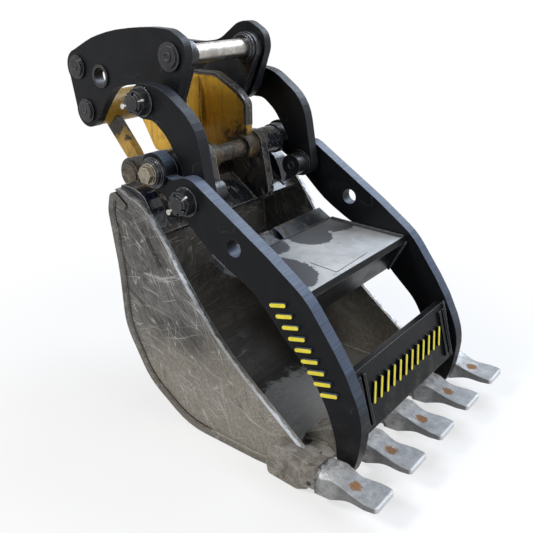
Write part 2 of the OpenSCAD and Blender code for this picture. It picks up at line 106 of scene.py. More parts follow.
def sums(tree, kind, a, b):
    """One Math node held between 0 and 1; a and b are sockets or numbers."""
    node = tree.nodes.new("ShaderNodeMath")
    node.operation = kind
    node.use_clamp = True
    for socket, value in zip(node.inputs, (a, b)):
        if isinstance(value, (int, float)):
            socket.default_value = value
        else:
            tree.links.new(value, socket)
    return node.outputs["Value"]


def both(tree, a, b):
    """Two masks multiplied, or that share of one."""
    return sums(tree, "MULTIPLY", a, b)


def plus(tree, a, b):
    """Two masks added, 1 at most."""
    return sums(tree, "ADD", a, b)


def tint(tree, mask, under, over, share=1):
    """Colour under where the mask is 0, and that share of over where it is 1."""
    node = tree.nodes.new("ShaderNodeMix")
    node.data_type = "RGBA"
    tree.links.new(mask if share == 1 else both(tree, mask, share), node.inputs["Factor"])
    for socket, value in ((node.inputs[6], under), (node.inputs[7], over)):
        if isinstance(value, tuple):
            socket.default_value = (*value, 1)
        else:
            tree.links.new(value, socket)
    return node.outputs[2]


def level(tree, mask, low, high):
    """A mask from 0 to 1 turned into a number from low to high."""
    node = tree.nodes.new("ShaderNodeMapRange")
    node.inputs["To Min"].default_value = low
    node.inputs["To Max"].default_value = high
    tree.links.new(mask, node.inputs["Value"])
    return node.outputs["Result"]


def coat(tree, shader, colour, mask, smooth, dull):
    """Gives the shader its colour, and a roughness of smooth where the mask is 0, dull where it is 1."""
    tree.links.new(colour, shader.inputs["Base Color"])
    tree.links.new(level(tree, mask, smooth, dull), shader.inputs["Roughness"])


def edges(tree, width):
    """1 on the corners between faces, 0 on the flats."""
    bevel = tree.nodes.new("ShaderNodeBevel")
    bevel.samples = 6
    bevel.inputs["Radius"].default_value = width
    flat = tree.nodes.new("ShaderNodeNewGeometry")
    dot = tree.nodes.new("ShaderNodeVectorMath")
    dot.operation = "DOT_PRODUCT"
    tree.links.new(bevel.outputs["Normal"], dot.inputs[0])
    tree.links.new(flat.outputs["True Normal"], dot.inputs[1])
    ramp = tree.nodes.new("ShaderNodeMapRange")
    ramp.inputs["From Min"].default_value = 0.98
    ramp.inputs["From Max"].default_value = 0.75
    tree.links.new(dot.outputs["Value"], ramp.inputs["Value"])
    return ramp.outputs["Result"]


def axis_value(tree, place, axis):
    """One coordinate of a place in metres, or of the way that a surface looks."""
    split = tree.nodes.new("ShaderNodeSeparateXYZ")
    tree.links.new(place, split.inputs["Vector"])
    return split.outputs[axis]


def cut_faces(tree):
    """1 on the cut edge faces of an upright plate, 0 on its two broad sides."""
    flat = tree.nodes.new("ShaderNodeNewGeometry")
    aside = sums(tree, "ABSOLUTE", axis_value(tree, flat.outputs["True Normal"], "Y"), 0)
    return between(tree, aside, 0.6, 0.4)


def facing_up(tree):
    """1 where the surface looks up, 0 where it stands upright or looks down."""
    flat = tree.nodes.new("ShaderNodeNewGeometry")
    return between(tree, axis_value(tree, flat.outputs["True Normal"], "Z"), 0.15, 0.75)


def scratches(tree, place, turn, length, gap, width, seed):
    """Long thin scratches that run one way (turn: degrees about X, Y, Z), worn off here and there."""
    along = turned_place(tree, place, turn, (1, 1, gap / length), (seed, seed, 0))
    noise = tree.nodes.new("ShaderNodeTexNoise")
    noise.inputs["Scale"].default_value = 1 / gap
    noise.inputs["Detail"].default_value = 1.5
    noise.inputs["Distortion"].default_value = 0.4
    tree.links.new(along, noise.inputs["Vector"])
    crest = sums(tree, "PINGPONG", noise.outputs["Fac"], 0.5)
    line = between(tree, crest, 0.5 - 0.55 * width / gap, 0.5 - 0.1 * width / gap)
    kept = cloud(tree, moved_place(tree, place, (sum(turn), seed, 3)), 0.07, 0.42, 0.60, 4)
    return both(tree, line, kept)


def relief(tree, shader, height, depth, round_edge=0.0015):
    """Bump of that depth in metres over edges softened by round_edge."""
    bump = tree.nodes.new("ShaderNodeBump")
    bump.inputs["Distance"].default_value = depth
    tree.links.new(height, bump.inputs["Height"])
    bevel = tree.nodes.new("ShaderNodeBevel")
    bevel.samples = 6
    bevel.inputs["Radius"].default_value = round_edge
    tree.links.new(bevel.outputs["Normal"], bump.inputs["Normal"])
    tree.links.new(bump.outputs["Normal"], shader.inputs["Normal"])


def ground_steel(name, dark, mid, light, soil, edge_colour, seed, runs, bright_cut):
    """Bare plate that stones and soil have scratched along runs of [turn, gap, width]."""
    finish, tree, shader, place = start_finish(name, mid, 0.5, 0.40)
    moved = moved_place(tree, place, (seed, seed * 0.7, 0))
    patches = cloud(tree, moved, 0.09, 0.34, 0.66, 9, 0.72, 0.5)
    fine = cloud(tree, moved, 0.0055, 0.34, 0.68, 6, 0.75)
    colour = tint(tree, patches, dark, mid)
    height_z = plus(tree, axis_value(tree, place, "Z"),
                    both(tree, cloud(tree, moved, 0.16, 0.2, 0.8, 6), 0.20))
    colour = tint(tree, between(tree, height_z, 0.46, 0.16), colour, soil, 0.85)
    wisps = cloud(tree, turned_place(tree, place, (0, 52, 0), (1, 1, 0.16), (seed, 1, 1)),
                  0.020, 0.46, 0.76, 8, 0.75, 0.6)
    colour = tint(tree, wisps, colour, light, 0.45)
    colour = tint(tree, fine, colour, dark, 0.55)
    bruise = cloud(tree, turned_place(tree, place, (0, 25, 0), (1, 1, 0.35), (seed, 3, 1)),
                   0.05, 0.57, 0.70, 9, 0.75, 0.5)
    colour = tint(tree, bruise, colour, tuple(0.45 * c for c in dark), 0.8)
    marks = None
    for turn, gap, width in runs:
        run = scratches(tree, place, turn, 0.45, gap, width, seed + sum(turn))
        marks = run if marks is None else plus(tree, marks, run)
    colour = tint(tree, marks, colour, light, 0.75)
    colour = tint(tree, edges(tree, 0.003), colour, edge_colour, 0.6)
    if bright_cut:
        # the outer corner of the cut edge is worn bright, most of all low down
        worn = plus(tree, cloud(tree, moved, 0.022, 0.30, 0.55, 8, 0.75), 0.15)
        down = between(tree, axis_value(tree, place, "Z"), 0.60, 0.44)
        worn = both(tree, worn, plus(tree, both(tree, down, 0.6), 0.4))
        outer = plus(tree, sums(tree, "ABSOLUTE", axis_value(tree, place, "Y"), 0),
                     both(tree, cloud(tree, moved, 0.03, 0.3, 0.7, 6, 0.7), 0.008))
        worn = both(tree, worn, between(tree, outer, 0.2925, 0.2965))
        colour = tint(tree, both(tree, worn, cut_faces(tree)), colour, edge_colour)
    else:
        # the upward floor is lighter in front and near black behind
        reach = plus(tree, axis_value(tree, place, "X"),
                     both(tree, cloud(tree, moved, 0.06, 0.3, 0.7, 8, 0.7), 0.07))
        floor_up = facing_up(tree)
        lighter_front = both(tree, floor_up, between(tree, reach, 0.085, 0.110))
        darker_back = both(tree, floor_up, between(tree, reach, 0.110, 0.085))
        colour = tint(tree, darker_back, colour, (0.012, 0.009, 0.006), 0.93)
        colour = tint(tree, lighter_front, colour, edge_colour, 0.55)
    coat(tree, shader, colour, plus(tree, patches, marks), 0.62, 0.42)
    height = sums(tree, "SUBTRACT", plus(tree, both(tree, fine, 0.4), 0.3), marks)
    relief(tree, shader, height, 0.0006)
    return finish


def dress(finish, *names):
    """Gives CAD nodes their finish, in all their material slots."""
    for name in names:
        mesh = frame["nodes"][name].data
        mesh.materials.clear()
        mesh.materials.append(finish)


# Scratches lie in the plane of the plate: upright on the sides, round the bend on the shell.
side_runs = [((0, 38, 0), 0.034, 0.0006), ((0, 62, 0), 0.026, 0.0005), ((0, 8, 0), 0.045, 0.0007),
             ((0, 112, 0), 0.036, 0.0005), ((0, 24, 0), 0.019, 0.0004), ((0, 80, 0), 0.050, 0.0008)]
shell_runs = [((84, 0, 0), 0.034, 0.0006), ((97, 0, 0), 0.026, 0.0005), ((90, 0, 0), 0.045, 0.0007),
              ((12, 0, 0), 0.050, 0.0006), ((76, 0, 0), 0.040, 0.0005)]
shell_steel = ground_steel("shell_steel", (0.052, 0.047, 0.040), (0.155, 0.149, 0.137),
                           (0.30, 0.29, 0.27), (0.19, 0.165, 0.13), (0.30, 0.29, 0.27), 0.0,
                           shell_runs, False)
plate_steel = ground_steel("plate_steel", (0.045, 0.042, 0.038), (0.135, 0.132, 0.126),
                           (0.40, 0.395, 0.38), (0.34, 0.305, 0.25), (0.70, 0.71, 0.73), 6.0,
                           side_runs, True)
dress(shell_steel, "bucket_shell")
dress(plate_steel, "side_plate_near", "side_plate_far")

# Top plate, gussets and ears
# The head of the bucket still has its old black paint, glossy where it is wiped clean,
# brown with packed soil in the corners and rubbed to bare metal on the edges.


def head_paint(name, clean, soil_low, soil_high, seed, rough):
    """Old gloss black with packed soil in patches and bare metal where it is rubbed."""
    finish, tree, shader, place = start_finish(name, clean, rough, 0.0, 0.5)
    moved = moved_place(tree, place, (seed, 0, 0))
    soil = cloud(tree, moved, 0.07, soil_low, soil_high, 9, 0.7, 0.6)
    rubbed = plus(tree, scratches(tree, place, (0, 35, 0), 0.3, 0.03, 0.0008, 2),
                  cloud(tree, moved, 0.018, 0.64, 0.69, 8, 0.72, 0.4))
    colour = tint(tree, soil, clean, (0.055, 0.042, 0.027), 0.8)
    colour = tint(tree, rubbed, colour, (0.30, 0.28, 0.25), 0.7)
    colour = tint(tree, edges(tree, 0.004), colour, (0.46, 0.43, 0.37), 0.8)
    coat(tree, shader, colour, plus(tree, soil, rubbed), rough, 0.72)
    relief(tree, shader, plus(tree, soil, both(tree, rubbed, 0.4)), 0.0012, 0.002)
    return finish


old_paint = head_paint("old_black_paint", (0.013, 0.015, 0.020), 0.46, 0.60, 0, 0.26)
gusset_paint = head_paint("gusset_paint", (0.010, 0.014, 0.024), 0.62, 0.74, 4, 0.16)
dress(old_paint, "top_plate", "ear_near", "ear_far", "ear_bosses")
dress(gusset_paint, "corner_gussets")

hinge_at = {joint["name"]: Vector(joint["pos_m"]) for joint in frame["record"]["behaviour"]["joints"]}
main_pin_at = hinge_at["thumb_swing"]


def at(x, y, z):
    """A point of the part's own drawing, in mm about the main pin, in this scene's metres."""
    return main_pin_at + Vector((x, y, z)) / 1000


def faces(node):
    """How far a far-side plate's inner and outer faces are from the middle, in mm."""
    return [round(1000 * corner[1], 1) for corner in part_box(node)]


ear_in, ear_out = faces("ear_far")
plate_in, plate_out = faces("side_plate_far")


def named_tree(name, inputs):
    """A node tree with those named inputs and one shape as its output."""
    tree = bpy.data.node_groups.new(name, "GeometryNodeTree")
    for title, kind in inputs.items():
        tree.interface.new_socket(name=title, in_out="INPUT", socket_type="NodeSocket" + kind)
    tree.interface.new_socket(name="Shape", in_out="OUTPUT", socket_type="NodeSocketGeometry")
    return tree


def end_tree(tree, spread, given):
    """Makes the copies that a tree spreads into one real mesh with the given finish."""
    solid = tree.nodes.new("GeometryNodeRealizeInstances")
    finish = tree.nodes.new("GeometryNodeSetMaterial")
    tree.links.new(spread.outputs["Instances"], solid.inputs["Geometry"])
    tree.links.new(solid.outputs["Geometry"], finish.inputs["Geometry"])
    tree.links.new(given.outputs["Finish"], finish.inputs["Material"])
    tree.links.new(finish.outputs["Geometry"], tree.nodes.new("NodeGroupOutput").inputs["Shape"])


def bead_tree():
    """Weld along a path: overlapping ripples, each a little wider or narrower."""
    tree = named_tree("weld_ripples", {"Path": "Geometry", "Width": "Float", "Pitch": "Float",
                                       "Unevenness": "Float", "Seed": "Int", "Finish": "Material"})
    make, link = tree.nodes.new, tree.links.new
    given, spread = make("NodeGroupInput"), make("GeometryNodeInstanceOnPoints")
    curve, step = make("GeometryNodeMeshToCurve"), make("GeometryNodeResampleCurve")
    step.mode = "LENGTH"
    tangent, turn = make("GeometryNodeInputTangent"), make("FunctionNodeAlignRotationToVector")
    ripple = make("GeometryNodeMeshUVSphere")
    ripple.inputs["Segments"].default_value = 8
    ripple.inputs["Rings"].default_value = 5
    ripple.inputs["Radius"].default_value = 0.5
    uneven = make("FunctionNodeRandomValue")
    low, high = make("ShaderNodeMath"), make("ShaderNodeMath")
    low.operation, high.operation = "SUBTRACT", "ADD"
    wide, long, size = make("ShaderNodeMath"), make("ShaderNodeMath"), make("ShaderNodeCombineXYZ")
    wide.operation = long.operation = "MULTIPLY"
    long.inputs[1].default_value = 2.2
    link(given.outputs["Path"], curve.inputs["Mesh"])
    link(curve.outputs["Curve"], step.inputs["Curve"])
    link(given.outputs["Pitch"], step.inputs["Length"])
    link(step.outputs["Curve"], spread.inputs["Points"])
    link(ripple.outputs["Mesh"], spread.inputs["Instance"])
    link(tangent.outputs["Tangent"], turn.inputs["Vector"])
    link(turn.outputs["Rotation"], spread.inputs["Rotation"])
    for node in (low, high):
        node.inputs[0].default_value = 1
        link(given.outputs["Unevenness"], node.inputs[1])
    # sockets 2 and 3 are the lowest and highest number, and output 1 is the number drawn
    link(low.outputs["Value"], uneven.inputs[2])
    link(high.outputs["Value"], uneven.inputs[3])
    link(given.outputs["Seed"], uneven.inputs["Seed"])
    link(given.outputs["Width"], wide.inputs[0])
    link(uneven.outputs[1], wide.inputs[1])
    link(given.outputs["Pitch"], long.inputs[0])
    link(wide.outputs["Value"], size.inputs["X"])
    link(wide.outputs["Value"], size.inputs["Y"])
    link(long.outputs["Value"], size.inputs["Z"])
    link(size.outputs["Vector"], spread.inputs["Scale"])
    end_tree(tree, spread, given)
    return tree


def grown(name, mesh, tree, values):
    """A piece made by a node tree from a starting mesh, as one plain mesh."""
    piece = bpy.data.objects.new(name, mesh)
    bpy.context.scene.collection.objects.link(piece)
    maker = piece.modifiers.new("maker", "NODES")
    maker.node_group = tree
    for socket in tree.interface.items_tree:
        if socket.name in values:
            maker[socket.identifier] = values[socket.name]
    shape = piece.evaluated_get(bpy.context.evaluated_depsgraph_get())
    plain = bpy.data.meshes.new_from_object(shape)
    piece.modifiers.clear()
    piece.data = plain
    plain.name = name
    return piece


def belongs(piece, body):
    """Puts a piece on its body."""
    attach(piece, body)


weld_ripples = bead_tree()


def both_sides(runs):
    """Each run of points, and the same run on the other side of the part."""
    return runs + [[(x, -y, z) for x, y, z in run] for run in runs]


def weld(name, runs, width, finish, body, seed):
    """Welds of that width in mm along runs of points."""
    points, links = [], []
    for run in runs:
        first = len(points)
        points += [at(*point) for point in run]
        links += [(first + i, first + i + 1) for i in range(len(run) - 1)]
    path = bpy.data.meshes.new(name)
    path.from_pydata(points, links, [])
    piece = grown(name, path, weld_ripples, {"Width": width / 1000, "Pitch": width / 2700,
                                             "Unevenness": 0.16, "Seed": seed, "Finish": finish})
    for face in piece.data.polygons:
        face.use_smooth = True
    belongs(piece, body)


# Each ear is welded on both sides, to the top plate and down the back of the shell.
beside_ear = (ear_out + 1, ear_in - 1)
ear_welds = [[(-139, y, -120), (-133, y, -150), (-127, y, -190), (-121, y, -230)] for y in beside_ear]
weld("head_welds", both_sides([[(22, ear_in - 1, -150), (-20, ear_in - 1, -120), (-66, ear_in - 1, -88)],
                               [(22, ear_out + 1, -151), (-20, ear_out + 1, -121), (-66, ear_out + 1, -88)],
                               [(10, 236, -143), (-30, 236, -114), (-66, 236, -88)]] + ear_welds),
     9, old_paint, "bucket", 3)


def rounded_run(corners):
    """Points along a line whose corners [x, z, radius] are arcs, with a point each 12 degrees or less."""
    spots = [Vector(corners[0][:2])]
    for before, here, after in zip(corners, corners[1:], corners[2:]):
        b = Vector(here[:2])
        before, after = Vector(before[:2]) - b, Vector(after[:2]) - b
        u, v = before.normalized(), after.normalized()
        half = u.angle(v) / 2
        reach = min(here[2] / math.tan(half), 0.48 * before.length, 0.48 * after.length)
        middle = b + (u + v).normalized() * reach / math.cos(half)
        start, turn = b + u * reach - middle, (b + u * reach - middle).angle_signed(b + v * reach - middle)
        count = max(1, math.ceil(abs(math.degrees(turn)) / 12))
        spots += [middle + Matrix.Rotation(-turn * i / count, 2) @ start for i in range(count + 1)]
    return spots + [Vector(corners[-1][:2])]


def beside(spots, shift):
    """The run of points moved that far to its left."""
    ends = [(spots[max(i - 1, 0)], spots[min(i + 1, len(spots) - 1)]) for i in range(len(spots))]
    ways = [(after - before).normalized() for before, after in ends]
    return [spot + shift * Vector((-way.y, way.x)) for spot, way in zip(spots, ways)]


# The shell is welded to the side plates all the way round, outside and in.
shell_back = rounded_run([(-68, -87), (-122, -48, 20), (-138, -112, 70), (-114, -270, 400),
                          (-108, -428, 170), (-28, -566, 170), (110, -655, 190), (350, -655, 300),
                          (420, -646)])
weld("shell_welds", both_sides([[(x, y, z) for x, z in beside(shell_back[2:], shift)]
                                for y, shift in ((plate_in - 1, 17), (plate_out + 0.5, 15.5))]),
     11, shell_steel, "bucket", 4)


def skin(shape, rings):
    """Closes a skin over rings of points that follow each other, with a cap at each end."""
    for lower, upper in zip(rings, rings[1:]):
        for i in range(len(lower)):
            j = (i + 1) % len(lower)
            shape.faces.new((lower[i], lower[j], upper[j], upper[i]))
    shape.faces.new(rings[-1])
    shape.faces.new(rings[0][::-1])


def plain_mesh(name, shape):
    """The mesh of a shape, with its faces turned outwards."""
    bmesh.ops.recalc_face_normals(shape, faces=shape.faces)
    mesh = bpy.data.meshes.new(name)
    shape.to_mesh(mesh)
    shape.free()
    return mesh


def settle(name, shape, finish, body):
    """Makes a shape a piece with its finish, on its body."""
    mesh = plain_mesh(name, shape)
    mesh.materials.append(finish)
    piece = bpy.data.objects.new(name, mesh)
    bpy.context.scene.collection.objects.link(piece)
    belongs(piece, body)


def oblong(name, start, end, half, y, rise, finish, body):
    """A flat lozenge with round ends and a softened rim, lying on an upright plate at y."""
    start, end = Vector(start), Vector(end)
    way = (end - start).normalized()
    across = Vector((-way.y, way.x))
    shape, rings = bmesh.new(), []
    lift = -1 if y < 0 else 1
    for grow, up in ((0, 0), (0, rise * 0.6), (-0.22 * half, rise)):
        ring = []
        for end_point, first in ((end, 90), (start, 270)):
            for i in range(9):
                turn = math.radians(first - 180 * i / 8)
                spot = end_point + (half + grow) * (way * math.cos(turn) + across * math.sin(turn))
                ring.append(shape.verts.new(at(spot.x, y + lift * up, spot.y)))
        rings.append(ring)
    skin(shape, rings)
    settle(name, shape, finish, body)


def cut_plate(name, outline, y0, y1, finish, body):
    """A flat plate from y0 to y1 with an outline of [x, z] points."""
    shape = bmesh.new()
    skin(shape, [[shape.verts.new(at(x, y, z)) for x, z in outline] for y in (y0, y1)])
    settle(name, shape, finish, body)


# Each side plate laps over the end of the shell at the top corner, with a round shoulder.
shoulder = [(-66, -86), (-57, -68.5), (-72, -61.5), (-86, -55.5), (-97, -51.5), (-106, -51.5), (-112, -55.3)]
for side, name in ((-1, "shoulder_near"), (1, "shoulder_far")):
    cut_plate(name, shoulder, side * (plate_in - 0.2), side * (plate_out + 0.2), plate_steel,
              "bucket")

# The near side plate is held to the gusset behind it by one long plug weld.
plug, tree, shader, place = start_finish("plug_weld", (0.02, 0.02, 0.02), 0.4, 0.3)
dots = cloud(tree, place, 0.006, 0.55, 0.66, 4, 0.7)
colour = tint(tree, dots, (0.012, 0.012, 0.014), (0.30, 0.29, 0.27), 0.7)
coat(tree, shader, colour, dots, 0.35, 0.7)
relief(tree, shader, dots, 0.001, 0.001)
oblong("plug_weld", (-7, -163), (31, -223), 6.5, -plate_out, 1.6, plug, "bucket")

# Cutting edge
# A thicker bar of hard plate welded along the front of the floor. Digging keeps it bright.
edge_steel = ground_steel("edge_steel", (0.12, 0.11, 0.095), (0.30, 0.285, 0.26),
                          (0.55, 0.53, 0.50), (0.34, 0.30, 0.25), (0.66, 0.65, 0.62), 3.0,
                          shell_runs, False)
dress(edge_steel, "cutting_edge")

# Teeth, adapters
# Cast steel adapters are welded over the cutting edge and hold five cast teeth, each with
# a cross pin. The teeth are worn bright, each with one brown patch of rust in its neck.


def cast_steel(name, base, light, rust, rust_low, rust_high, seed, bright, rough):
    """Sand-cast steel: grainy skin, rust in spots, worn smooth where it digs."""
    finish, tree, shader, place = start_finish(name, base, rough, 0.55)
    moved = moved_place(tree, place, (seed, 0, seed))
    grain = cloud(tree, moved, 0.0028, 0.3, 0.7, 4, 0.7)
    wear = cloud(tree, moved, 0.03, 0.35, 0.65, 6, 0.65, 0.3)
    spots = cloud(tree, moved, 0.035, rust_low, rust_high, 8, 0.7, 0.3)
    pits = cloud(tree, moved, 0.007, 0.64, 0.70, 4, 0.6)
    colour = tint(tree, wear, base, light)
    colour = tint(tree, grain, colour, tuple(0.5 * c for c in base), 0.55)
    colour = tint(tree, pits, colour, tuple(0.3 * c for c in base), 0.7)
    colour = tint(tree, spots, colour, rust, 0.85)
    colour = tint(tree, edges(tree, 0.004), colour, bright, 0.8)
    return finish, tree, shader, place, colour, grain, spots, pits


adapter_steel, tree, shader, place, colour, grain, spots, pits = cast_steel(
    "adapter_steel", (0.19, 0.175, 0.15), (0.40, 0.37, 0.325), (0.13, 0.095, 0.06), 0.54, 0.66, 9.0,
    (0.52, 0.49, 0.44), 0.55)
coat(tree, shader, colour, spots, 0.5, 0.8)
relief(tree, shader, sums(tree, "SUBTRACT", grain, pits), 0.0012, 0.005)
dress(adapter_steel, "tooth_adapters")

tooth_steel, tree, shader, place, colour, grain, spots, pits = cast_steel(
    "tooth_steel", (0.25, 0.255, 0.26), (0.41, 0.415, 0.42), (0.25, 0.15, 0.08), 0.74, 0.80, 5.0,
    (0.74, 0.75, 0.76), 0.38)
forward = axis_value(tree, place, "X")

# One patch of rust lies in the neck of each tooth, so the pattern repeats at the teeth's
# pitch; the patches are 4 mm off the middle of the teeth.
tooth_pitch = 155
row = tree.nodes.new("ShaderNodeMath")
row.operation = "PINGPONG"
row.inputs[1].default_value = tooth_pitch / 2000
tree.links.new(plus(tree, (3 * tooth_pitch + 4) / 1000, axis_value(tree, place, "Y")), row.inputs[0])
neck = both(tree, between(tree, forward, 0.462, 0.490), between(tree, forward, 0.520, 0.490))
middle = between(tree, row.outputs["Value"], 0.028, 0.0)
ragged = cloud(tree, place, 0.009, 0.20, 0.80, 6, 0.8, 0.6)
patch = both(tree, both(tree, neck, middle), plus(tree, ragged, 0.25))
patch = between(tree, patch, 0.30, 0.46)
colour = tint(tree, patch, colour, (0.26, 0.125, 0.045), 0.92)

# The blades are polished at the root, darker in the middle and bright at the tip; the flanks
# get painted shade, the teeth are darker brown towards the bottom, and soil lies where the
# adapters meet them.
polish = both(tree, between(tree, forward, 0.470, 0.445), cloud(tree, place, 0.014, 0.30, 0.60, 6, 0.7))
colour = tint(tree, polish, colour, (0.70, 0.71, 0.72), 0.7)
blade = both(tree, between(tree, forward, 0.485, 0.520), cloud(tree, place, 0.02, 0.3, 0.6, 6, 0.7))
colour = tint(tree, blade, colour, (0.16, 0.162, 0.165), 0.5)
# the teeth turn darker brown towards the bottom
under = between(tree, axis_value(tree, place, "Z"), 0.045, 0.020)
colour = tint(tree, under, colour, (0.10, 0.075, 0.052), 0.45)
# painted shade: the faces of the teeth that don't look up are darkened
painted_flank_shade = sums(tree, "SUBTRACT", 0.9, facing_up(tree))
colour = tint(tree, painted_flank_shade, colour, (0.085, 0.080, 0.075), 0.55)
root = plus(tree, forward, both(tree, cloud(tree, place, 0.01, 0.3, 0.7, 5, 0.7), 0.012))
colour = tint(tree, between(tree, root, 0.420, 0.412), colour, (0.035, 0.030, 0.025), 0.85)
colour = tint(tree, between(tree, forward, 0.553, 0.560), colour, (0.78, 0.79, 0.80), 0.7)
coat(tree, shader, colour, plus(tree, patch, spots), 0.40, 0.8)
relief(tree, shader, sums(tree, "SUBTRACT", plus(tree, both(tree, grain, 0.6), 0.2), pits), 0.0009, 0.006)
dress(tooth_steel, "teeth")

backs = [[(400, y + 36, -628), (400, y - 36, -628)] for y in (-tooth_pitch, 0, tooth_pitch)]
flanks = [[(406, y, -624), (429, y, -618), (468, y, -614)]
          for y in (-272, -193, -117, -38, 38, 117, 193, 272)]
weld("adapter_welds", backs + flanks, 9, adapter_steel, "bucket", 8)

# Fittings
# Turned pins, caps, washers and castle nuts: dark oiled steel, except for the bright
# stick pin and the plated bolts and split pins.


def turned_steel(name, base, light, rough, metal, seed, specular=0.5):
    """Machined steel with faint rings, rubs and a little dirt; its edges are lightened, partly as wear and
    partly as a painted highlight.
    """
    finish, tree, shader, place = start_finish(name, base, rough, metal, specular)
    moved = moved_place(tree, place, (seed, seed, 0))
    film = cloud(tree, moved, 0.03, 0.35, 0.7, 6, 0.65, 0.3)
    rubs = cloud(tree, turned_place(tree, place, (0, 0, 0), (1, 14, 1), (0, seed, 0)),
                 0.02, 0.55, 0.72, 4, 0.6)
    colour = tint(tree, film, base, light)
    # the edges are lightened: partly bright wear, partly a painted highlight
    worn_edge_and_highlight = tuple(min(1, 2.2 * c + 0.14) for c in light)
    colour = tint(tree, edges(tree, 0.002), colour, worn_edge_and_highlight, 0.6)
    coat(tree, shader, colour, plus(tree, film, rubs), rough + 0.12, rough - 0.08)
    relief(tree, shader, rubs, 0.0002, 0.0015)
    return finish


dark_steel = turned_steel("dark_steel", (0.007, 0.007, 0.009), (0.024, 0.025, 0.028), 0.27, 0.2, 2.0, 0.45)
bright_steel = turned_steel("bright_steel", (0.30, 0.285, 0.26), (0.52, 0.505, 0.475), 0.30, 1.0, 4.0)
plated_steel = turned_steel("plated_steel", (0.17, 0.145, 0.105), (0.36, 0.325, 0.26), 0.32, 0.85, 6.0)
zinc_steel = turned_steel("zinc_steel", (0.40, 0.39, 0.37), (0.66, 0.65, 0.63), 0.30, 0.9, 8.0)
worn_rings = turned_steel("worn_rings", (0.014, 0.015, 0.018), (0.11, 0.115, 0.125), 0.24, 0.6, 3.0)
dress(dark_steel, "tooth_pins", "cheek_near", "cheek_far", "cheek_pads", "stick_pin_caps",
      "arm_pins", "arm_pin_nuts", "pin_caps", "spare_bushes", "link_pins", "link_pin_nuts")
dress(worn_rings, "main_pin_washers", "arm_pin_washers", "link_pin_washers", "stick_pin_seals")
dress(bright_steel, "stick_pin", "rod_pin", "rear_link_pin")
dress(zinc_steel, "arm_pin_cotters", "link_pin_cotters")
dress(plated_steel, "main_pin_bolts")

# The main pin and the bosses it turns in are dark with old grease and rust.
greasy, tree, shader, place = start_finish("greasy_rust", (0.05, 0.042, 0.032), 0.5, 0.4)
crust = cloud(tree, place, 0.02, 0.45, 0.62, 8, 0.75, 0.5)
rings = cloud(tree, turned_place(tree, place, (0, 0, 0), (1, 9, 1), (2, 1, 0)), 0.02, 0.52, 0.70, 4, 0.6)
colour = tint(tree, crust, (0.020, 0.018, 0.015), (0.115, 0.085, 0.050))
colour = tint(tree, rings, colour, (0.24, 0.22, 0.19), 0.5)
colour = tint(tree, edges(tree, 0.003), colour, (0.34, 0.30, 0.24), 0.5)
coat(tree, shader, colour, crust, 0.38, 0.75)
relief(tree, shader, plus(tree, crust, rings), 0.0008, 0.002)
dress(greasy, "main_pin", "stick_bosses", "rear_pin", "rear_pin_collars")


def turned_fittings(name, profile, pins, y, finish, body):
    """Small turned fittings on both ends of pins at [x, z]: [radius, height] off y, all in mm."""
    shape = bmesh.new()
    turns = [math.radians(15 * i) for i in range(24)]
    for x, z in pins:
        for side in (-1, 1):
            skin(shape, [[shape.verts.new(at(x + radius * math.cos(turn), side * (y + up),
                                             z + radius * math.sin(turn))) for turn in turns]
                         for radius, up in profile])
    settle(name, shape, finish, body)


def drawing_place(joint):
    """Where a joint's pin is on the part's own drawing: [x, z] in mm about the main pin."""
    return ((hinge_at[joint] - main_pin_at) * 1000).xz


rod_pin_at, arm_pin_at, arm_pin_end = (-386, 203.5), (98.6, -54.2), 150
cap_face = faces("pin_caps")[1]
grease_collar = [(12.5, -1), (12.5, 1.2), (11.5, 2.4), (8.5, 2.4), (7.0, 1.0), (6.6, 0.3), (0.8, 0.2)]
small_collar = [(9, -1), (9, 0.8), (8, 1.6), (5.6, 1.6), (4.6, 0.4), (0.8, 0.2)]
turned_fittings("stick_pin_sockets", grease_collar, [drawing_place("crank_rock")], cap_face,
                dark_steel, "stick_end")
turned_fittings("crank_pin_sockets", small_collar, [drawing_place("rear_link_swing"), rod_pin_at],
                cap_face, dark_steel, "crank")
turned_fittings("arm_pin_sockets", [(radius, -up) for radius, up in grease_collar], [arm_pin_at],
                arm_pin_end, dark_steel, "thumb")

# Stick end, rear link
# Yellow paint on plate and tube, years old: streaked brown from the top down, scratched
# through to bare steel, oily and dusty in the corners.


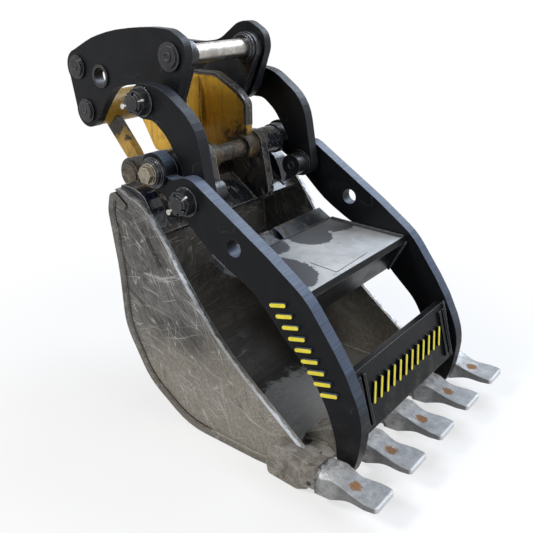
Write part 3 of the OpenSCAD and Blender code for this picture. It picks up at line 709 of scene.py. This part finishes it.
def old_yellow(name, clean, grime, share, worn_leg):
    """Yellow paint under streaks of dirt; a worn leg is black above and bare below."""
    finish, tree, shader, place = start_finish(name, clean, 0.45, 0.0, 0.35)
    mottled = cloud(tree, place, 0.05, 0.60 - share, 0.82 - share, 8, 0.7, 0.5)
    streak = cloud(tree, turned_place(tree, place, (0, 4, 0), (1, 1, 0.07), (1, 2, 0)),
                   0.012, 0.58 - share, 0.80 - share, 6, 0.7)
    fine = cloud(tree, turned_place(tree, place, (0, 0, 0), (1, 1, 0.12), (4, 2, 0)), 0.0035, 0.5, 0.8, 4)
    chips = cloud(tree, place, 0.016, 0.64, 0.67, 8, 0.72, 0.6)
    colour = tint(tree, mottled, clean, grime, 0.55)
    colour = tint(tree, streak, colour, grime, 0.75)
    colour = tint(tree, fine, colour, tuple(0.5 * c for c in grime), 0.3)
    worn = plus(tree, chips, both(tree, edges(tree, 0.003), 0.7))
    colour = tint(tree, worn, colour, (0.050, 0.036, 0.026), 0.85)
    # oil has spread over the paint round the main pin
    reach = tree.nodes.new("ShaderNodeVectorMath")
    reach.operation = "LENGTH"
    tree.links.new(turned_place(tree, place, (0, 0, 0), (1, 0, 1), -main_pin_at), reach.inputs[0])
    oily = plus(tree, reach.outputs["Value"],
                both(tree, cloud(tree, place, 0.03, 0.3, 0.7, 8, 0.75, 0.5), 0.05))
    colour = tint(tree, between(tree, oily, 0.105, 0.068), colour, (0.018, 0.014, 0.010), 0.95)
    if worn_leg:
        along = plus(tree, axis_value(tree, place, "Z"),
                     both(tree, cloud(tree, place, 0.03, 0.3, 0.7, 6, 0.7, 0.6), 0.07))
        top = between(tree, along, 0.705, 0.720)
        low = between(tree, along, 0.645, 0.630)
        bare = tint(tree, cloud(tree, place, 0.02, 0.35, 0.65, 8, 0.7, 0.4),
                    (0.16, 0.155, 0.145), (0.36, 0.355, 0.34))
        colour = tint(tree, top, colour, (0.014, 0.013, 0.012), 0.95)
        colour = tint(tree, low, colour, bare, 0.92)
    coat(tree, shader, colour, plus(tree, mottled, chips), 0.42, 0.72)
    relief(tree, shader, plus(tree, chips, fine), 0.0005)
    return finish


stick_yellow = old_yellow("stick_yellow", (0.66, 0.385, 0.045), (0.10, 0.052, 0.016), 0.11, False)
link_yellow = old_yellow("link_yellow", (0.47, 0.275, 0.038), (0.10, 0.055, 0.018), 0.07, False)
leg_yellow = old_yellow("leg_yellow", (0.47, 0.275, 0.038), (0.10, 0.055, 0.018), 0.07, True)
dress(stick_yellow, "stick_plate_near", "stick_plate_far", "stick_web")
dress(link_yellow, "rear_link_top_tube", "rear_link_low_tube", "rear_link_leg_far")
dress(leg_yellow, "rear_link_leg_near")


def edge_strip(name, spots, inner, outer, y0, y1, finish, body):
    """A strip wrapped on a plate's edge along spots, from inner to outer of it, from y0 to y1."""
    shape, rows, soft = bmesh.new(), [], 1.2
    for i, spot in enumerate(spots):
        way = (spots[min(i + 1, len(spots) - 1)] - spots[max(i - 1, 0)]).normalized()
        out = Vector((-way.y, way.x))
        low, high = spot + out * inner, spot + out * outer
        rows.append([shape.verts.new(at(p.x, y, p.y)) for p, y in
                     ((low, y0), (high - out * soft, y0), (high, y0 + soft), (high, y1 - soft),
                      (high - out * soft, y1), (low, y1))])
    skin(shape, rows)
    settle(name, shape, finish, body)


stick_in, stick_out = faces("stick_plate_far")
far_plate_top = rounded_run([(-172, 189), (-94, 189, 60), (-20, 150, 90), (13, 119, 20), (14, 60)])
edge_strip("far_plate_rim", far_plate_top, -9, 1.5, stick_in - 1.5, stick_out + 1, old_paint,
           "stick_end")
weld("stick_welds", both_sides([[(-151, stick_in - 1, 40), (-151, stick_in - 1, 168)]]),
     9, stick_yellow, "stick_end", 6)
weld("link_welds", both_sides([[(-343, 86, 50), (-325, 86, 62), (-318, 86, 84)]]),
     8, link_yellow, "rear_link", 7)

# Thumb arms, links and cranks
# Flame-cut plate under new satin black paint. Dust lies on it lightly, the rims catch the
# light, and the cut edges show faint draglines.


def satin_black(name, deep, dusty, shift, rim_share, rim_highlight, worn=0.45):
    """Satin paint, nearly black on the flats; the rims get a painted bluish highlight, strongest where they
    face up.
    """
    finish, tree, shader, place = start_finish(name, deep, 0.36, 0.0, 0.12)
    moved = moved_place(tree, place, (shift, 0, shift))
    dust = cloud(tree, moved, 0.14, 0.40, 0.75, 8, 0.7, 0.5)
    scuff = plus(tree, scratches(tree, place, (0, 40, 0), 0.3, 0.09, 0.0005, shift + 2),
                 cloud(tree, moved, 0.008, 0.72, 0.76, 6, 0.7))
    peel = cloud(tree, moved, 0.0035, 0.3, 0.7, 2, 0.5)
    drag = cloud(tree, turned_place(tree, place, (0, 0, 0), (1, 0.03, 1), (shift, 0, 0)),
                 0.0022, 0.38, 0.66, 2)
    rim = both(tree, cut_faces(tree), rim_share)
    up = both(tree, rim, facing_up(tree))
    colour = tint(tree, dust, deep, dusty, 0.5)
    # painted sheen: every cut rim is tinted a little lighter and bluish, and the rims that face up get a
    # painted highlight
    colour = tint(tree, rim, colour, (0.022, 0.024, 0.029), 0.5)
    colour = tint(tree, up, colour, (0.13, 0.165, 0.235), rim_highlight)
    lines = both(tree, drag, rim)
    colour = tint(tree, lines, colour, deep, 0.32)
    colour = tint(tree, scuff, colour, (0.10, 0.10, 0.10), 0.25)
    # soil greys the low tips of the arms, most of all on their cut edges
    low = plus(tree, axis_value(tree, place, "Z"),
               both(tree, cloud(tree, moved, 0.05, 0.3, 0.7, 8, 0.75), 0.16))
    muddy = both(tree, between(tree, low, 0.28, 0.12), plus(tree, cut_faces(tree), 0.3))
    colour = tint(tree, muddy, colour, (0.060, 0.055, 0.050), 0.75)
    bare = tuple(c + 0.4 * worn for c in (-0.03, -0.015, 0.01))
    colour = tint(tree, edges(tree, 0.002), colour, bare, worn)
    coat(tree, shader, colour, plus(tree, dust, scuff), 0.33, 0.50)
    height = plus(tree, both(tree, peel, 0.35), both(tree, lines, 0.6))
    relief(tree, shader, height, 0.00022, 0.002)
    return finish


black = satin_black("black_paint", (0.0045, 0.005, 0.0062), (0.013, 0.014, 0.016), 0.0, 1, 0.8)
crank_black = satin_black("crank_paint", (0.0050, 0.0054, 0.0064), (0.014, 0.015, 0.017), 4.0, 1, 0.08)
cross_black = satin_black("cross_paint", (0.0040, 0.0045, 0.0055), (0.018, 0.018, 0.018), 7.0, 0, 0, 0.9)
dress(black, "arm_near", "arm_far")
dress(cross_black, "arm_hubs", "upper_front_flange", "lower_cross_plate", "end_bars")
dress(crank_black, "crank_plate_near", "crank_plate_far", "curved_link_near", "curved_link_far")

# The upper cross plate is coloured pale grey as a painted highlight of glare on it; near-black patches
# of painted shadow lie behind and beside it, where the arm and the links shade it.
glare_and_shadow_plate, tree, shader, place = start_finish("glare_and_shadow_plate", (0.4, 0.4, 0.4), 0.4, 0.3, 0.5)


def shadow_patch(tree, place, x, y, z, radius, soft):
    """1 inside a ragged round patch about that point, 0 outside it (all in mm)."""
    gap = tree.nodes.new("ShaderNodeVectorMath")
    gap.operation = "DISTANCE"
    gap.inputs[1].default_value = at(x, y, z)
    tree.links.new(place, gap.inputs[0])
    ragged = both(tree, cloud(tree, place, 0.012, 0.3, 0.7, 8, 0.75), soft / 1000)
    far = plus(tree, gap.outputs["Value"], ragged)
    return between(tree, far, (radius + 0.65 * soft) / 1000, (radius + 0.35 * soft) / 1000)


# Painted shadow: ragged near-black patches where the arm and links shade the plate, and a strip along the
# arms.
painted_shadow = between(tree, sums(tree, "ABSOLUTE", axis_value(tree, place, "Y"), 0), 0.205, 0.222)
for x, y, radius, soft in ((222, 70, 62, 12), (300, -190, 105, 14), (200, 190, 75, 20), (188, -60, 52, 14)):
    painted_shadow = plus(tree, painted_shadow, shadow_patch(tree, place, x, y, -210, radius, soft))
grain = cloud(tree, place, 0.004, 0.3, 0.7, 5, 0.75)
smear = cloud(tree, place, 0.05, 0.35, 0.7, 8, 0.7, 0.4)
# Painted highlight: the pale grey base stands in for glare on the plate.
colour = tint(tree, smear, (0.40, 0.405, 0.41), (0.54, 0.545, 0.55))
colour = tint(tree, grain, colour, (0.30, 0.30, 0.30), 0.2)
lines = scratches(tree, place, (90, 0, 30), 0.4, 0.05, 0.0007, 4)
colour = tint(tree, lines, colour, (0.16, 0.16, 0.16), 0.5)
colour = tint(tree, painted_shadow, colour, (0.016, 0.019, 0.025), 0.94)
colour = tint(tree, both(tree, grain, painted_shadow), colour, (0.16, 0.16, 0.17), 0.25)
coat(tree, shader, colour, painted_shadow, 0.38, 0.46)
relief(tree, shader, plus(tree, both(tree, grain, 0.5), painted_shadow), 0.0003, 0.002)
dress(glare_and_shadow_plate, "upper_cross_plate")

# The strip folded up behind it is scuffed paint with brown soil on it.
scuffed, tree, shader, place = start_finish("scuffed_paint", (0.04, 0.045, 0.055), 0.4, 0.0, 0.2)
soil = cloud(tree, moved_place(tree, place, (5, 1, 0)), 0.035, 0.56, 0.64, 8, 0.7, 0.5)
rub = cloud(tree, place, 0.008, 0.55, 0.68, 6, 0.75)
colour = tint(tree, rub, (0.014, 0.016, 0.020), (0.12, 0.125, 0.135), 0.5)
colour = tint(tree, soil, colour, (0.20, 0.145, 0.09), 0.75)
colour = tint(tree, edges(tree, 0.003), colour, (0.30, 0.31, 0.33), 0.5)
coat(tree, shader, colour, soil, 0.38, 0.8)
relief(tree, shader, plus(tree, soil, both(tree, rub, 0.3)), 0.001, 0.002)
dress(scuffed, "upper_rear_strip")

# The cross plates are welded between the arms, along the arms' inner faces.
arm_in, arm_out = faces("arm_far")
y = arm_in - 1.5
weld("arm_welds", both_sides([[(190, y, -209), (300, y, -211), (417, y, -212)],
                              [(424, y - 0.5, -228), (402, y - 0.5, -272), (380, y - 0.5, -314)],
                              [(428, y - 2.5, -226), (404, y - 2.5, -272), (382, y - 2.5, -316)],
                              [(549, y, -366), (568, y, -440), (588, y, -512)]]),
     8, cross_black, "thumb", 5)
weld("fold_weld", [[(184.5, 4 - arm_in, -209.5), (184.5, arm_in - 4, -209.5)]], 5, scuffed,
     "thumb", 9)

# A thin bent line stands on the rubbed plate.
weld("score_line", [[(325, -77, -211.8), (406, -83, -212.9), (401, 65, -212.8)]],
     2.2, scuffed, "thumb", 11)


def mark_tree():
    """A row of raised marks: one mark set down again and again, a step apart."""
    tree = named_tree("row_of_marks", {"Mark": "Geometry", "Count": "Int", "Step": "Vector",
                                       "Finish": "Material"})
    make, link = tree.nodes.new, tree.links.new
    given, line, spread = (make("NodeGroupInput"), make("GeometryNodeMeshLine"),
                           make("GeometryNodeInstanceOnPoints"))
    link(given.outputs["Count"], line.inputs["Count"])
    link(given.outputs["Step"], line.inputs["Offset"])
    link(line.outputs["Mesh"], spread.inputs["Points"])
    link(given.outputs["Mark"], spread.inputs["Instance"])
    end_tree(tree, spread, given)
    return tree


row_of_marks = mark_tree()


def slanted_marks(name, count, step, length, width, bottom, top, face, finish):
    """Bars with round ends that lean 24 degrees, raised from bottom to top off a face (all in mm)."""
    lean = math.radians(24)
    way = Vector((math.sin(lean), math.cos(lean)))
    across = Vector((way.y, -way.x))
    shape, rings = bmesh.new(), []
    soft = min(1.4, 0.45 * (top - bottom))
    for shrink, height in ((0, bottom), (0, top - soft), (0.35 * soft, top - 0.3 * soft), (soft, top)):
        ring = []
        for end, first in ((1, 90), (-1, 270)):
            for i in range(7):
                turn = math.radians(first - 30 * i)
                spot = (way * (end * (length - width) / 2)
                        + (width / 2 - shrink) * (way * math.cos(turn) + across * math.sin(turn)))
                ring.append(shape.verts.new((spot.x / 1000, spot.y / 1000, height / 1000)))
        rings.append(ring)
    skin(shape, rings)
    piece = grown(name, plain_mesh(name, shape), row_of_marks,
                  {"Count": count, "Step": (step / 1000, 0, 0), "Finish": finish})
    piece.data.transform(face)
    belongs(piece, "thumb")


def face_place(corner, u, w):
    """Where a flat pattern goes: its corner, its running direction and the way it faces."""
    u, w = Vector(u).normalized(), Vector(w).normalized()
    v = w.cross(u)
    turn = Matrix((u, v, w)).transposed().to_4x4()
    return Matrix.Translation(at(*corner)) @ turn


# Raised marks are welded on the near arm and the lower plate, their faces painted yellow.
mark_yellow, tree, shader, place = start_finish("mark_yellow", (0.80, 0.66, 0.03), 0.5, 0.0, 0.4)
fleck = cloud(tree, place, 0.006, 0.60, 0.70, 5, 0.7)
colour = tint(tree, cloud(tree, place, 0.03, 0.35, 0.65, 5), (0.72, 0.60, 0.03), (0.84, 0.72, 0.05))
colour = tint(tree, fleck, colour, (0.22, 0.18, 0.04), 0.5)
coat(tree, shader, colour, fleck, 0.42, 0.7)
relief(tree, shader, fleck, 0.0004, 0.001)
arm_marks = face_place((372, -arm_out, -238), (144, 0, -180), (0, -1, 0))
plate_marks = face_place((566.8, -166, -438.2), (0, 1, 0), (0.9615, 0, 0.2747))
for name, count, step, length, width, face in (("arm_mark", 9, 28.5, 47, 10.5, arm_marks),
                                               ("plate_mark", 12, 30.2, 52, 9.5, plate_marks)):
    slanted_marks(name + "_sides", count, step, length, width, -0.5, 6.5, face, black)
    slanted_marks(name + "_faces", count, step, length - 1.2, width - 1.2, 6.2, 7.6, face,
                  mark_yellow)

# Floor, light and camera
# A plain pale floor under soft lamps. Camera, gloss and glass rays see it fade to white;
# diffuse light finds only its own pale colour, and the object's shadow stays on it.
floor_mesh = bpy.data.meshes.new("floor")
floor_mesh.from_pydata([(-30, -30, 0), (30, -30, 0), (30, 30, 0), (-30, 30, 0)], [], [(0, 1, 2, 3)])
floor = bpy.data.objects.new("floor", floor_mesh)
bpy.context.scene.collection.objects.link(floor)
floor_paint, tree, shader, place = start_finish("floor_paint", (0.90, 0.90, 0.90), 0.95, 0.0, 0.1)
floor_mesh.materials.append(floor_paint)


def background_rays(tree):
    """1 for the rays that should find the white background."""
    rays = tree.nodes.new("ShaderNodeLightPath")
    seen = plus(tree, rays.outputs["Is Camera Ray"], rays.outputs["Is Glossy Ray"])
    return plus(tree, seen, rays.outputs["Is Transmission Ray"])


reach = tree.nodes.new("ShaderNodeVectorMath")
reach.operation = "LENGTH"
tree.links.new(place, reach.inputs[0])
fade = level(tree, between(tree, reach.outputs["Value"], 0.6, 1.3), 0.66, 1.0)
white = tree.nodes.new("ShaderNodeEmission")
mixed = tree.nodes.new("ShaderNodeMixShader")
tree.links.new(both(tree, fade, background_rays(tree)), mixed.inputs["Fac"])
tree.links.new(shader.outputs["BSDF"], mixed.inputs[1])
tree.links.new(white.outputs["Emission"], mixed.inputs[2])
tree.links.new(mixed.outputs["Shader"], tree.nodes["Material Output"].inputs["Surface"])

world = bpy.data.worlds.new("studio")
bpy.context.scene.world = world
world.use_nodes = True
tree = world.node_tree
air = tree.nodes["Background"]
air.inputs["Color"].default_value = (0.80, 0.88, 1.0, 1)
air.inputs["Strength"].default_value = 0.16
backdrop = tree.nodes.new("ShaderNodeBackground")
backdrop.inputs["Color"].default_value = (1, 1, 1, 1)
choice = tree.nodes.new("ShaderNodeMixShader")
tree.links.new(background_rays(tree), choice.inputs["Fac"])
tree.links.new(air.outputs["Background"], choice.inputs[1])
tree.links.new(backdrop.outputs["Background"], choice.inputs[2])
tree.links.new(choice.outputs["Shader"], tree.nodes["World Output"].inputs["Surface"])


def soft_lamp(name, place, aim, size, power, colour):
    """A square soft box at place, turned to aim."""
    lamp = bpy.data.lights.new(name, "AREA")
    lamp.shape = "SQUARE"
    lamp.size = size
    lamp.energy = power
    lamp.color = colour
    holder = bpy.data.objects.new(name, lamp)
    holder.location = place
    holder.rotation_mode = "QUATERNION"
    holder.rotation_quaternion = (Vector(aim) - Vector(place)).to_track_quat("-Z", "Y")
    bpy.context.scene.collection.objects.link(holder)


soft_lamp("key_lamp", (-1.1, -2.8, 2.9), (0.1, 0, 0.4), 0.9, 105, (1.0, 0.98, 0.95))
soft_lamp("sky_lamp", (0.35, 2.6, 3.0), (0.1, 0, 0.5), 2.2, 120, (0.76, 0.86, 1.0))
soft_lamp("side_lamp", (3.2, 0.4, 2.2), (0.2, 0, 0.4), 1.4, 50, (0.95, 0.97, 1.0))

FOCAL_PIXELS = 690
IMAGE_PIXELS = 533
AZIMUTH, ELEVATION = math.radians(38.01), math.radians(23.33)
eye = bpy.data.cameras.new("photo_camera")
eye.sensor_width = 36
eye.lens = FOCAL_PIXELS / IMAGE_PIXELS * eye.sensor_width
camera = bpy.data.objects.new("photo_camera", eye)
bpy.context.scene.collection.objects.link(camera)
camera.location = (1.0635, -1.3612, 1.1003)
back = Vector((math.sin(AZIMUTH) * math.cos(ELEVATION), -math.cos(AZIMUTH) * math.cos(ELEVATION),
               math.sin(ELEVATION)))
camera.rotation_mode = "QUATERNION"
camera.rotation_quaternion = (-back).to_track_quat("-Z", "Y")
bpy.context.scene.camera = camera
bpy.context.scene.view_settings.view_transform = "Standard"
